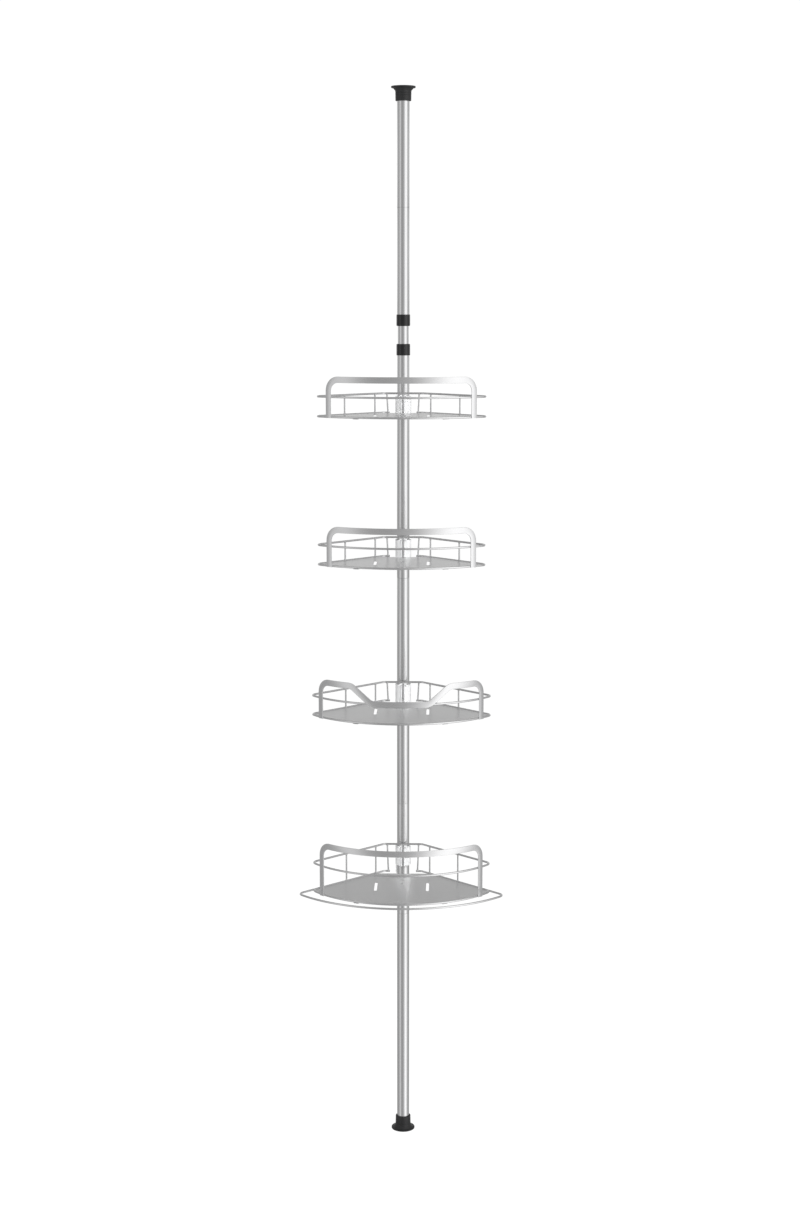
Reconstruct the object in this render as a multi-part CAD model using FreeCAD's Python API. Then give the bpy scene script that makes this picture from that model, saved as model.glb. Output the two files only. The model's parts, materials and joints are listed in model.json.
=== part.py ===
import FreeCAD, Part
import math
import os

# A spring-loaded corner shower caddy: one pole wedged between floor and ceiling, four wire baskets.
# Millimetres. +Z is up, the origin is on the pole's axis at the floor, the baskets reach towards -Y.

# ---------------------------------------------------------------- driving dimensions: the pole
TUBE_R = 12.5
TUBE_WALL = 0.8
INNER_TUBE_R = 11.0
TUBE_BORE_R = TUBE_R - TUBE_WALL
INNER_BORE_R = INNER_TUBE_R - TUBE_WALL
TUBE_EDGE_BREAK = 0.3
FULL_TUBE = 465.0
TOTAL_HEIGHT = 2128.0
PAD_HEIGHT = 28.0
PAD_FLOOR = 3.0
PAD_FLANGE_R = 24.0
PAD_FLANGE = 3.2
PAD_FLARE = 5.0
PAD_NECK_R = 15.75
PAD_NECK_FOOT = 8.5
PAD_NECK_TAPER = 0.35
PAD_EDGE_BREAK = 0.8
PAD_RIM = 1.2
RUNNING_GAP = 0.08
FIXED_GAP = 0.03

SEAM_1 = PAD_FLOOR + FULL_TUBE
SEAM_2 = SEAM_1 + FULL_TUBE / 2
SEAM_3 = SEAM_2 + FULL_TUBE
SPRING_TUBE_TOP = SEAM_3 + FULL_TUBE
UPPER_TUBE_FOOT = 1668.6
UPPER_TUBES_TOP = TOTAL_HEIGHT - PAD_FLOOR
UPPER_SEAM = (UPPER_TUBE_FOOT + UPPER_TUBES_TOP) / 2

COLLAR_R = 13.7
COLLAR_HEIGHT = 22.5
COLLAR_ROUND = 2.0
COLLAR_LIP = 1.6
JOINT_GRIP = 18.0
JOINT_STUD_R = 6.0
JOINT_STUD_LENGTH = 14.0
JOINT_BASE = 2.0
JOINT_FACE_GAP = 0.2
COLLET_LENGTH = 34.0
COLLET_SLIT = (1.5, 26.0)

SPRING_FOOT = 1320.0
SPRING_TOP = 1465.0
SPRING_WIRE_R = 1.0
SPRING_COIL_R = 9.4
SPRING_TURNS = 13
SPRING_END_GAP = 0.2
PEG_R = SPRING_COIL_R - SPRING_WIRE_R - 0.4
PEG_LENGTH = 9.0
SEAT_THICKNESS = 8.0
SPIGOT_LENGTH = 20.0
INNER_TUBE_FOOT = 1480.0
INNER_TUBE_TOP = 1876.0

# ---------------------------------------------------------------- driving dimensions: the baskets
WIRE_R = 2.0
RUNG_R = 1.6
BACK_Y = -18.0
BACK_HALF_WIDTH = 38.6
BACK_CORNER_R = 6.0
RUNG_SIDE_X = (55.0, 112.0)
CORNER_RUNG_X = (32.0, 29.8)
PRONG_LENGTH = 45.0
HOOP_END_X = 26.5
TRAY_THICKNESS = 1.0
TRAY_WELD = 0.3
TRAY_REAR_Y = -38.0
REAR_LIP = (52.0, 4.0)
SLOT_X = 51.5
SLOT_HALF_WIDTH = 2.85
SLOT_ENDS_Y = (-106.0, -157.0)
DRAIN_HOLE_R = 2.8
DRAIN_HOLE_Y = -107.0
TAB_X = 86.0
TAB_WIDTH = 10.0
TAB_RUN = (6.0, 1.5)
TAB_GAP = 0.05
STRIP_WIDTH = 12.0
STRIP_THICKNESS = 1.6
STRIP_BEND_R = 27.0
STRIP_WELD = 0.15
STRIP_LAP = math.radians(0.5)
CORNER_RUN = 24.0

SMALL = {"half_width": 160.5, "tip_r": 16.0, "reach": 214.0, "post_x": 139.0}
LARGE = {"half_width": 172.5, "tip_r": 15.0, "reach": 252.0, "post_x": 156.0}
TOWEL = {"half_width": 198.0, "tip_r": 13.6, "reach": 279.5}
TOWEL_LAP = 6.0
BASKETS = (
    {"level": 1497.5, "size": SMALL, "rail": 38.0, "band_top": 77.0, "dips": False},
    {"level": 1211.5, "size": SMALL, "rail": 38.0, "band_top": 77.0, "dips": False},
    {"level": 917.0, "size": LARGE, "rail": 38.0, "band_top": 77.0, "dips": True},
    {"level": 561.0, "size": LARGE, "rail": 57.0, "band_top": 107.0, "dips": False},
)
DIP_LOW_X = 55.0
DIP_HIGH_X = 94.0
DIP_BEND_R = 22.0
DIP_RUN = 32.0

# ---------------------------------------------------------------- driving dimensions: the clamps
LINER_R = (12.6, 13.6)
SLEEVE_R = (13.7, 15.75)
SLEEVE_TOP_BELOW_RAIL = 6.5
SLEEVE_FOOT_BELOW_RAIL = 47.0
DOOR_FOOT_BELOW_TRAY = 12.0
DOOR_HALF_ANGLE = 50.0
DOOR_GAP_ANGLE = 1.5
KNUCKLE_AT_R = 17.0
KNUCKLE_R = 2.4
PIN_R = 1.0
PIN_HOLE_R = 1.05
KNUCKLE_LENGTH = 13.0
KNUCKLE_GAP = 0.25
HOOK_HALF_WIDTH = 8.9
HOOK_DROP = 5.0
HOOK_THICKNESS = 2.2
HOOK_REACH_Y = -21.5
HOOK_GAP = 0.05
PRONG_GAP_HALF = 2.2
GUIDE_RIB = (1.5, -19.6)
THUMB_TAB = (2.2, 6.5, 14.0)
THUMB_ROOT = (1.0, 1.5)
THUMB_FOOT_BELOW_TOP = 30.0
THUMB_ANGLE = 9.0
LINER_SLIT = 3.0
LINER_INSET = 1.8

Z = FreeCAD.Vector(0, 0, 1)
OUT = "parts"
os.makedirs(OUT, exist_ok=True)
written = []


def vec(x, y, z=0.0):
    return FreeCAD.Vector(x, y, z)


def save(node, solids):
    """One STEP file per node; a list becomes a group of separate solids."""
    shape = solids if isinstance(solids, Part.Shape) else Part.makeCompound(solids)
    shape.exportStep(os.path.join(OUT, node + ".step"))
    good = all(solid.isValid() and solid.Volume > 0 for solid in shape.Solids)
    written.append(node)
    print(f"{node:24s} solids {len(shape.Solids):2d}  volume {shape.Volume:10.1f}  valid {good}")


def ring(outer, inner, low, high):
    """A plain tube between two heights."""
    return Part.makeCylinder(outer, high - low, vec(0, 0, low)).cut(
        Part.makeCylinder(inner, high - low + 2, vec(0, 0, low - 1)))


def turned(profile, arcs=()):
    """A solid turned about the pole's axis from (radius, height) corners.
    An arc is (index of its first corner, middle point)."""
    middles = dict(arcs)
    edges = []
    for i, start in enumerate(profile):
        end = profile[(i + 1) % len(profile)]
        a = vec(start[0], 0, start[1])
        b = vec(end[0], 0, end[1])
        if i in middles:
            m = middles[i]
            edges.append(Part.Arc(a, vec(m[0], 0, m[1]), b).toShape())
        else:
            edges.append(Part.LineSegment(a, b).toShape())
    return Part.Face(Part.Wire(edges)).revolve(vec(0, 0), Z, 360)


# ---------------------------------------------------------------- pole pieces
def tube(radius, low, high):
    """A tube section with both outer rims broken, which leaves a fine line where two sections meet."""
    b = TUBE_EDGE_BREAK
    bore = radius - TUBE_WALL
    return turned([(bore, low), (radius - b, low), (radius, low + b), (radius, high - b),
                   (radius - b, high), (bore, high)])


def floor_pad():
    """A round rubber foot: thin flange, hollow flare up to the neck, a socket for the tube."""
    socket = TUBE_R + FIXED_GAP
    flange = PAD_FLANGE
    e = PAD_EDGE_BREAK
    rim = PAD_RIM
    neck_top = PAD_NECK_R - PAD_NECK_TAPER
    profile = [(0, 0), (PAD_FLANGE_R - e, 0), (PAD_FLANGE_R, e), (PAD_FLANGE_R, flange - e),
               (PAD_FLANGE_R - e, flange), (PAD_NECK_R + PAD_FLARE, flange), (PAD_NECK_R, PAD_NECK_FOOT),
               (neck_top, PAD_HEIGHT - rim), (neck_top - rim, PAD_HEIGHT),
               (socket, PAD_HEIGHT), (socket, PAD_FLOOR), (0, PAD_FLOOR)]
    flare = (5, (PAD_NECK_R + 0.27 * PAD_FLARE, flange + 0.31 * PAD_FLARE))
    round_over = (7, (neck_top - 0.35 * rim, PAD_HEIGHT - 0.35 * rim))
    return turned(profile, (flare, round_over))


def ceiling_pad():
    """The same rubber pad upside down."""
    return floor_pad().mirror(vec(0, 0, TOTAL_HEIGHT / 2), Z)


def joint_socket(seam):
    """Threaded plug pressed into the top of the lower section."""
    plug = ring(TUBE_BORE_R - FIXED_GAP, JOINT_STUD_R + RUNNING_GAP, seam - JOINT_GRIP, seam - JOINT_FACE_GAP)
    base = Part.makeCylinder(TUBE_BORE_R - FIXED_GAP, JOINT_BASE, vec(0, 0, seam - JOINT_GRIP - 1.5))
    return plug.fuse(base).removeSplitter()


def joint_stud(seam):
    """Threaded stud pressed into the foot of the upper section and screwed into the socket."""
    gap = JOINT_FACE_GAP
    grip = Part.makeCylinder(TUBE_BORE_R - FIXED_GAP, JOINT_GRIP - gap, vec(0, 0, seam + gap))
    stud = Part.makeCylinder(JOINT_STUD_R, JOINT_STUD_LENGTH + 2 * gap, vec(0, 0, seam - JOINT_STUD_LENGTH))
    return grip.fuse(stud).removeSplitter()


def guide_collar():
    """Plastic cap over the top of the spring section, with a lip that guides the inner tube."""
    top = SPRING_TUBE_TOP + COLLAR_LIP
    low = top - COLLAR_HEIGHT
    inner = TUBE_R + FIXED_GAP
    lip = INNER_TUBE_R + RUNNING_GAP
    q = COLLAR_ROUND
    mid = q * (1 - math.sqrt(0.5))
    return turned([(inner, low), (COLLAR_R, low), (COLLAR_R, top - q), (COLLAR_R - q, top), (lip, top),
                   (lip, SPRING_TUBE_TOP + FIXED_GAP), (inner, SPRING_TUBE_TOP + FIXED_GAP)],
                  ((2, (COLLAR_R - mid, top - mid)),))


def lock_collar():
    """Twist collar over the foot of the upper section, which squeezes the collet on the inner tube."""
    low = UPPER_TUBE_FOOT - COLLAR_LIP
    top = low + COLLAR_HEIGHT
    inner = TUBE_R + RUNNING_GAP
    lip = INNER_TUBE_R + RUNNING_GAP
    q = COLLAR_ROUND
    mid = q * (1 - math.sqrt(0.5))
    return turned([(lip, low), (COLLAR_R - q, low), (COLLAR_R, low + q), (COLLAR_R, top), (inner, top),
                   (inner, UPPER_TUBE_FOOT - RUNNING_GAP), (lip, UPPER_TUBE_FOOT - RUNNING_GAP)],
                  ((1, (COLLAR_R - mid, low + mid)),))


def lock_collet():
    """Thin split sleeve between the inner tube and the upper section."""
    foot = UPPER_TUBE_FOOT + 0.5
    sleeve = ring(TUBE_BORE_R - FIXED_GAP, INNER_TUBE_R + 0.06, foot, foot + COLLET_LENGTH)
    wide, tall = COLLET_SLIT
    return sleeve.cut(Part.makeBox(2 * TUBE_R, wide, tall, vec(0, -wide / 2, UPPER_TUBE_FOOT)))


def spring_seat():
    """Plug across the spring section that the spring stands on."""
    plate = Part.makeCylinder(TUBE_BORE_R - FIXED_GAP, SEAT_THICKNESS,
                              vec(0, 0, SPRING_FOOT - SEAT_THICKNESS))
    peg = Part.makeCylinder(PEG_R, PEG_LENGTH + 1, vec(0, 0, SPRING_FOOT - 1))
    return plate.fuse(peg).removeSplitter()


def tension_spring():
    """Round wire carried along a helix."""
    height = SPRING_TOP - SPRING_FOOT - 2 * (SPRING_WIRE_R + SPRING_END_GAP)
    start = SPRING_FOOT + SPRING_WIRE_R + SPRING_END_GAP
    helix = Part.makeHelix(height / SPRING_TURNS, height, SPRING_COIL_R)
    helix.translate(vec(0, 0, start))
    section = Part.Wire(Part.makeCircle(SPRING_WIRE_R, vec(SPRING_COIL_R, 0, start), vec(0, 1, 0)))
    return Part.Wire(helix.Edges).makePipeShell([section], True, True)


def spring_plunger():
    """Sliding plug at the foot of the inner tube that the spring pushes on."""
    head = Part.makeCylinder(TUBE_BORE_R - RUNNING_GAP, INNER_TUBE_FOOT - SPRING_TOP, vec(0, 0, SPRING_TOP))
    peg = Part.makeCylinder(PEG_R, PEG_LENGTH, vec(0, 0, SPRING_TOP - PEG_LENGTH + 1))
    spigot = Part.makeCylinder(INNER_BORE_R - FIXED_GAP, SPIGOT_LENGTH + 1, vec(0, 0, INNER_TUBE_FOOT - 1))
    return head.fuse([peg, spigot]).removeSplitter()


# ---------------------------------------------------------------- basket outlines
def outline_points(size, inset=0.0):
    """Key points of a basket's outline, right half: straight back, rounded corner, side at 45 degrees,
    tip arc, and a front arc whose radius follows from the half width, the tip radius and the reach."""
    root2 = math.sqrt(2.0)
    r = size["tip_r"]
    cx = size["half_width"] - r
    cy = BACK_Y - (cx - BACK_HALF_WIDTH) - root2 * r
    k = cy + size["reach"]
    arc_r = (cx * cx + k * k - r * r) / (2 * (k - r))
    arc_y = arc_r - size["reach"]
    back_y = BACK_Y - inset
    back_x = BACK_HALF_WIDTH - inset * (root2 - 1)
    corner_r = BACK_CORNER_R - inset
    lap = corner_r * math.tan(math.radians(22.5))
    tip = r - inset
    front = arc_r - inset
    towards = math.atan2(cy - arc_y, cx)
    mid_tip = (math.pi / 4 + towards) / 2
    return {
        "back_end": vec(back_x - lap, back_y),
        "corner_mid": vec(back_x - lap + corner_r * math.sin(math.pi / 8),
                          back_y - corner_r + corner_r * math.cos(math.pi / 8)),
        "side_start": vec(back_x + lap / root2, back_y - lap / root2),
        "side_end": vec(cx + tip / root2, cy + tip / root2),
        "tip_mid": vec(cx + tip * math.cos(mid_tip), cy + tip * math.sin(mid_tip)),
        "front_start": vec(front * math.cos(towards), arc_y + front * math.sin(towards)),
        "front_mid": vec(0, arc_y - front),
        "arc_r": arc_r,
        "arc_y": arc_y,
    }


def mirrored(point):
    return vec(-point.x, point.y, point.z)


def outline_curves(p):
    """The outline's curves from the right end of its straight back, round the front, to the left end."""
    return [Part.Arc(p["back_end"], p["corner_mid"], p["side_start"]),
            Part.LineSegment(p["side_start"], p["side_end"]),
            Part.Arc(p["side_end"], p["tip_mid"], p["front_start"]),
            Part.Arc(p["front_start"], p["front_mid"], mirrored(p["front_start"])),
            Part.Arc(mirrored(p["front_start"]), mirrored(p["tip_mid"]), mirrored(p["side_end"])),
            Part.LineSegment(mirrored(p["side_end"]), mirrored(p["side_start"])),
            Part.Arc(mirrored(p["side_start"]), mirrored(p["corner_mid"]), mirrored(p["back_end"]))]


def joined(start, curves, end):
    """The curves as one wire, led in from a start point and out to an end point by straight lines."""
    first, last = curves[0].StartPoint, curves[-1].EndPoint
    whole = [Part.LineSegment(start, first)] + curves + [Part.LineSegment(last, end)]
    return Part.Wire([curve.toShape() for curve in whole])


def outline_wire(size, inset=0.0):
    """Closed outline that starts and ends in the middle of the back."""
    p = outline_points(size, inset)
    start = vec(0, p["back_end"].y)
    return joined(start, outline_curves(p), start)


def ring_wire(size, height):
    """A closed ring of round wire."""
    path = outline_wire(size)
    path.translate(vec(0, 0, height))
    section = Part.Wire(Part.makeCircle(WIRE_R, vec(0, BACK_Y, height), vec(1, 0, 0)))
    return path.makePipeShell([section], True, True)


def floor_hoop(basket):
    """The tray's wire: the same outline with most of its straight back left open for the clamp."""
    start = vec(HOOP_END_X, BACK_Y)
    path = joined(start, outline_curves(outline_points(basket["size"])), mirrored(start))
    section = Part.Wire(Part.makeCircle(WIRE_R, start, vec(1, 0)))
    hoop = path.makePipeShell([section], True, True)
    hoop.translate(vec(0, 0, basket["level"]))
    return hoop


def side_point(x):
    """Where a rung at this distance from the middle meets the side that runs at 45 degrees."""
    return BACK_Y - (x - BACK_HALF_WIDTH)


def basket_rungs(basket):
    """Uprights from the tray's wire to the rail: two on each side and a leaning one at each back corner.
    The seventh wire is a prong that hangs from the middle of the rail in the clamp's channel."""
    level = basket["level"]
    rail = level + basket["rail"]
    prong = Part.makeCylinder(RUNG_R, PRONG_LENGTH, vec(0, BACK_Y, rail - PRONG_LENGTH))
    rungs = [prong]
    head_x, foot_x = CORNER_RUNG_X
    for side in (-1, 1):
        foot = vec(side * foot_x, BACK_Y, level)
        lean = vec(side * head_x, BACK_Y, rail) - foot
        rungs.append(Part.makeCylinder(RUNG_R, lean.Length, foot, lean))
        for x in RUNG_SIDE_X:
            rungs.append(Part.makeCylinder(RUNG_R, basket["rail"], vec(side * x, side_point(x), level)))
    return rungs


def towel_ring(basket):
    """The outer rail of the lowest basket: both ends are welded to the tray ring where its tips turn."""
    along = vec(1, -1).normalize()
    start = outline_points(basket["size"])["side_end"] - along * TOWEL_LAP
    front = outline_curves(outline_points(TOWEL))[2:5]
    path = joined(start, front, mirrored(start))
    section = Part.Wire(Part.makeCircle(WIRE_R, start, along))
    rail = path.makePipeShell([section], True, True)
    rail.translate(vec(0, 0, basket["level"]))
    return rail


# ---------------------------------------------------------------- trays
def slot(x):
    """A round-ended drain slot."""
    low, high = SLOT_ENDS_Y
    bar = Part.makeBox(2 * SLOT_HALF_WIDTH, low - high, 10, vec(x - SLOT_HALF_WIDTH, high, -5))
    ends = [Part.makeCylinder(SLOT_HALF_WIDTH, 10, vec(x, y, -5)) for y in SLOT_ENDS_Y]
    return bar.fuse(ends)


def tab(size, side):
    """A tongue of the sheet folded down and out under the front wire."""
    p = outline_points(size)
    angle = math.asin(TAB_X / p["arc_r"])
    inner = p["arc_r"] - TAB_RUN[0]
    outer = p["arc_r"] + TAB_RUN[1]
    t = TRAY_THICKNESS
    low = -WIRE_R - t - TAB_GAP
    under = Part.makeBox(TAB_WIDTH, outer - inner, t, vec(-TAB_WIDTH / 2, -outer, low))
    drop = Part.makeBox(TAB_WIDTH, t, WIRE_R + t, vec(-TAB_WIDTH / 2, -inner - t, low))
    tongue = under.fuse(drop)
    tongue.rotate(vec(0, 0), Z, side * math.degrees(angle))
    tongue.translate(vec(0, p["arc_y"]))
    return tongue


def basket_tray(basket):
    """Sheet floor inside the hoop with a straight lipped rear edge that stops short of the clamp.
    It has two drain slots, a small hole, and two tongues folded under the front wire."""
    size = basket["size"]
    half = TRAY_THICKNESS / 2
    face = Part.Face(outline_wire(size, WIRE_R - TRAY_WELD))
    sheet = face.extrude(vec(0, 0, TRAY_THICKNESS))
    sheet.translate(vec(0, 0, -half))
    behind = Part.makeBox(4 * BACK_HALF_WIDTH, 60, 10, vec(-2 * BACK_HALF_WIDTH, TRAY_REAR_Y, -5))
    lip_x, lip_drop = REAR_LIP
    lip = Part.makeBox(2 * lip_x, TRAY_THICKNESS, lip_drop,
                       vec(-lip_x, TRAY_REAR_Y - TRAY_THICKNESS, half - lip_drop))
    sheet = sheet.cut(behind).fuse(lip)
    tabs = [tab(size, side) for side in (-1, 1)]
    holes = [slot(-SLOT_X), slot(SLOT_X), Part.makeCylinder(DRAIN_HOLE_R, 10, vec(0, DRAIN_HOLE_Y, -5))]
    tray = sheet.fuse(tabs).cut(holes).removeSplitter()
    tray.translate(vec(0, 0, basket["level"]))
    return tray


# ---------------------------------------------------------------- front bands
def strip_face(points, bends, width):
    """Flat outline, in the X-Z plane, of a strip that follows the points with rounded turns."""
    def edge_side(offset):
        corners = []
        last = len(points) - 1
        for i, point in enumerate(points):
            before = (point - points[i - 1]).normalize() if i > 0 else None
            after = (points[i + 1] - point).normalize() if i < last else None
            n1 = vec(-before.z, 0, before.x) if before else vec(-after.z, 0, after.x)
            n2 = vec(-after.z, 0, after.x) if after else n1
            mean = (n1 + n2).normalize()
            corners.append(point + mean * (offset / mean.dot(n1)))
        return corners

    def rounded(corners, offset):
        curves = []
        start = corners[0]
        for i in range(1, len(corners) - 1):
            before = (corners[i] - corners[i - 1]).normalize()
            after = (corners[i + 1] - corners[i]).normalize()
            turn = before.getAngle(after)
            left = before.z * after.x - before.x * after.z < 0
            radius = bends[i - 1] - offset if left else bends[i - 1] + offset
            reach = radius * math.tan(turn / 2)
            a = corners[i] - before * reach
            b = corners[i] + after * reach
            towards = (after - before).normalize()
            middle = corners[i] + towards * (radius / math.cos(turn / 2) - radius)
            curves.append(Part.LineSegment(start, a))
            curves.append(Part.Arc(a, middle, b))
            start = b
        curves.append(Part.LineSegment(start, corners[-1]))
        return curves, corners[0], corners[-1]

    upper, u0, u1 = rounded(edge_side(width / 2), width / 2)
    lower, l0, l1 = rounded(edge_side(-width / 2), -width / 2)
    ends = [Part.LineSegment(u1, l1), Part.LineSegment(u0, l0)]
    edges = [curve.toShape() for curve in upper + lower + ends]
    return Part.Face(Part.Wire(Part.__sortEdges__(edges)))


def wrapped(face, angle, shell, arc_y):
    """The face, turned to this angle round the arc, cut out of the curved sheet."""
    block = face.extrude(vec(0, -60, 0))
    block.translate(vec(0, -face_depth(shell, arc_y) + 30, 0))
    block.rotate(vec(0, 0), Z, math.degrees(angle))
    block.translate(vec(0, arc_y, 0))
    return block.common(shell)


def face_depth(shell, arc_y):
    """Radius of the curved sheet about its own axis."""
    return arc_y - shell.BoundBox.YMin


def front_band(basket):
    """Flat strip bent edgewise into two posts and wrapped round the outside of the front arc."""
    p = outline_points(basket["size"])
    inner = p["arc_r"] + WIRE_R - STRIP_WELD
    outer = inner + STRIP_THICKNESS
    level = basket["level"]
    top = level + basket["band_top"]
    middle = top - STRIP_WIDTH / 2
    foot = level - WIRE_R
    shell = Part.makeCylinder(outer, 130, vec(0, p["arc_y"], level - 10)).cut(
        Part.makeCylinder(inner, 132, vec(0, p["arc_y"], level - 11)))
    post_angle = math.asin(basket["size"]["post_x"] / outer)
    corner_angle = post_angle - STRIP_BEND_R / outer
    post_s = outer * math.tan(post_angle - corner_angle)
    pieces = []
    for side in (-1, 1):
        path = [vec(-side * CORNER_RUN, 0, middle), vec(side * post_s, 0, middle),
                vec(side * post_s, 0, foot)]
        face = strip_face(path, [STRIP_BEND_R - STRIP_WIDTH / 2], STRIP_WIDTH)
        pieces.append(wrapped(face, side * corner_angle, shell, p["arc_y"]))
    bar_middle = middle
    bar_reach = corner_angle - CORNER_RUN / outer + STRIP_LAP
    if basket["dips"]:
        low = level + basket["rail"]
        ramp_angle = math.asin((DIP_LOW_X + DIP_HIGH_X) / 2 / outer)
        run = (DIP_HIGH_X - DIP_LOW_X) / 2 / math.cos(ramp_angle)
        for side in (-1, 1):
            path = [vec(-side * (run + DIP_RUN), 0, low), vec(-side * run, 0, low),
                    vec(side * run, 0, middle), vec(side * (run + DIP_RUN), 0, middle)]
            face = strip_face(path, [DIP_BEND_R, DIP_BEND_R], STRIP_WIDTH)
            pieces.append(wrapped(face, side * ramp_angle, shell, p["arc_y"]))
        bar_middle = low
        bar_reach = ramp_angle - (run + DIP_RUN) / outer + STRIP_LAP
    z0 = bar_middle - STRIP_WIDTH / 2
    z1 = bar_middle + STRIP_WIDTH / 2
    section = Part.makePolygon([vec(inner, 0, z0), vec(outer, 0, z0), vec(outer, 0, z1), vec(inner, 0, z1),
                                vec(inner, 0, z0)])
    bar = Part.Face(section).revolve(vec(0, 0), Z, math.degrees(2 * bar_reach))
    bar.rotate(vec(0, 0), Z, -90 - math.degrees(bar_reach))
    bar.translate(vec(0, p["arc_y"], 0))
    return bar.fuse(pieces).removeSplitter()


# ---------------------------------------------------------------- clamps
def wedge(half_angle, low, high, towards):
    """A block that covers the angles within half_angle of the direction (degrees from -Y)."""
    reach = 4 * SLEEVE_R[1]
    a = math.radians(-90 + towards - half_angle)
    b = math.radians(-90 + towards + half_angle)
    m = math.radians(-90 + towards)
    corners = [vec(0, 0, low), vec(reach * math.cos(a), reach * math.sin(a), low),
               vec(1.6 * reach * math.cos(m), 1.6 * reach * math.sin(m), low),
               vec(reach * math.cos(b), reach * math.sin(b), low)]
    return Part.Face(Part.makePolygon(corners + corners[:1])).extrude(vec(0, 0, high - low))


def knuckle_centre():
    """The hinge's vertical axis, at the back left of the sleeve."""
    a = math.radians(90 + DOOR_HALF_ANGLE)
    return vec(KNUCKLE_AT_R * math.cos(a), KNUCKLE_AT_R * math.sin(a))


def knuckle(low, high):
    """A length of hinge barrel with its web to the shell."""
    centre = knuckle_centre()
    barrel = Part.makeCylinder(KNUCKLE_R, high - low, centre + vec(0, 0, low))
    return barrel.cut(Part.makeCylinder(PIN_HOLE_R, high - low + 2, centre + vec(0, 0, low - 1)))


def clamp_heights(basket):
    """Top of the clamp, foot of the sleeve and foot of the door."""
    rail = basket["level"] + basket["rail"]
    return rail - SLEEVE_TOP_BELOW_RAIL, rail - SLEEVE_FOOT_BELOW_RAIL, basket["level"] - DOOR_FOOT_BELOW_TRAY


def arch_rod(rail, radius, front_y, back_y):
    """A rod along Y whose top is the arch under the rail's back wire."""
    full = (HOOK_HALF_WIDTH ** 2 + HOOK_DROP ** 2) / (2 * HOOK_DROP)
    centre = rail - WIRE_R - HOOK_GAP - full
    return Part.makeCylinder(full - radius, back_y - front_y, vec(0, front_y, centre), vec(0, 1, 0))


def hook(rail, foot):
    """Arched ledge that carries the rail's back wire, and two ribs below it as a channel for the prong."""
    inner, outer = SLEEVE_R
    arch = arch_rod(rail, 0, HOOK_REACH_Y, -inner / 2).cut(arch_rod(rail, HOOK_THICKNESS, -2 * outer, 0))
    crest = arch.BoundBox.ZMax
    half = HOOK_HALF_WIDTH
    keep = Part.makeBox(2 * half, 2 * outer, 2 * HOOK_DROP,
                        vec(-half, -2 * outer, crest - HOOK_DROP - HOOK_THICKNESS))
    gap = Part.makeBox(2 * PRONG_GAP_HALF, 2 * outer, 2 * HOOK_DROP,
                       vec(-PRONG_GAP_HALF, -2 * outer, crest - HOOK_DROP))
    width, front = GUIDE_RIB
    ribs = [Part.makeBox(width, inner / 2, crest - HOOK_THICKNESS - foot, vec(x, front, foot))
            for x in (PRONG_GAP_HALF, -PRONG_GAP_HALF - width)]
    ledge = arch.common(keep).cut(gap).fuse(ribs)
    middle = (inner + outer) / 2
    return ledge.cut(Part.makeCylinder(middle, crest - foot + 2, vec(0, 0, foot - 1)))


def clamp_sleeve(basket):
    """Translucent sleeve round the front and sides of the pole, open at the back for the door. Its front
    edge is raised in a crown behind the arched hook."""
    rail = basket["level"] + basket["rail"]
    top, low, door_low = clamp_heights(basket)
    inner, outer = SLEEVE_R
    above = ring(outer + 1, inner - 1, top, rail).cut(arch_rod(rail, 0, -2 * outer, 0))
    shell = ring(outer, inner, low, rail - WIRE_R).cut([above, wedge(DOOR_HALF_ANGLE, low - 1, rail, 180)])
    barrels = [knuckle(top - KNUCKLE_LENGTH, top), knuckle(low, top - 2 * KNUCKLE_LENGTH)]
    pin_way = Part.makeCylinder(PIN_HOLE_R, top - low + 2, knuckle_centre() + vec(0, 0, low - 1))
    door_barrel = Part.makeCylinder(KNUCKLE_R + KNUCKLE_GAP, KNUCKLE_LENGTH,
                                    knuckle_centre() + vec(0, 0, top - 2 * KNUCKLE_LENGTH))
    return shell.fuse([hook(rail, low)] + barrels).cut([pin_way, door_barrel]).removeSplitter()


def clamp_door(basket):
    """Rear flap that swings on the pin and snaps shut on the far side with a thumb tab. It reaches below
    the sleeve, past the tray's wire."""
    top, sleeve_low, low = clamp_heights(basket)
    inner, outer = SLEEVE_R
    gap = KNUCKLE_GAP
    at = knuckle_centre()
    shell = ring(outer, inner, low, top).common(
        wedge(DOOR_HALF_ANGLE - DOOR_GAP_ANGLE, low - 1, top + 1, 180))
    split = top - 2 * KNUCKLE_LENGTH
    room = [Part.makeCylinder(KNUCKLE_R + gap, KNUCKLE_LENGTH + 1, at + vec(0, 0, top - KNUCKLE_LENGTH)),
            Part.makeCylinder(KNUCKLE_R + gap, split - sleeve_low + gap, at + vec(0, 0, sleeve_low - gap))]
    barrels = [knuckle(split + gap, split + KNUCKLE_LENGTH - gap), knuckle(low, sleeve_low - gap)]
    a = math.radians(90 - DOOR_HALF_ANGLE + THUMB_ANGLE)
    thick, wide, tall = THUMB_TAB
    root_x, root_y = THUMB_ROOT
    thumb = Part.makeBox(thick, wide, tall, vec(outer * math.cos(a) - root_x, outer * math.sin(a) - root_y,
                                                top - THUMB_FOOT_BELOW_TOP))
    pin_way = Part.makeCylinder(PIN_HOLE_R, top - low + 2, at + vec(0, 0, low - 1))
    return shell.cut(room).fuse(barrels + [thumb]).cut(pin_way).removeSplitter()


def clamp_pin(basket):
    """Steel hinge pin."""
    top, sleeve_low, low = clamp_heights(basket)
    return Part.makeCylinder(PIN_R, top - low, knuckle_centre() + vec(0, 0, low))


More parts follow.
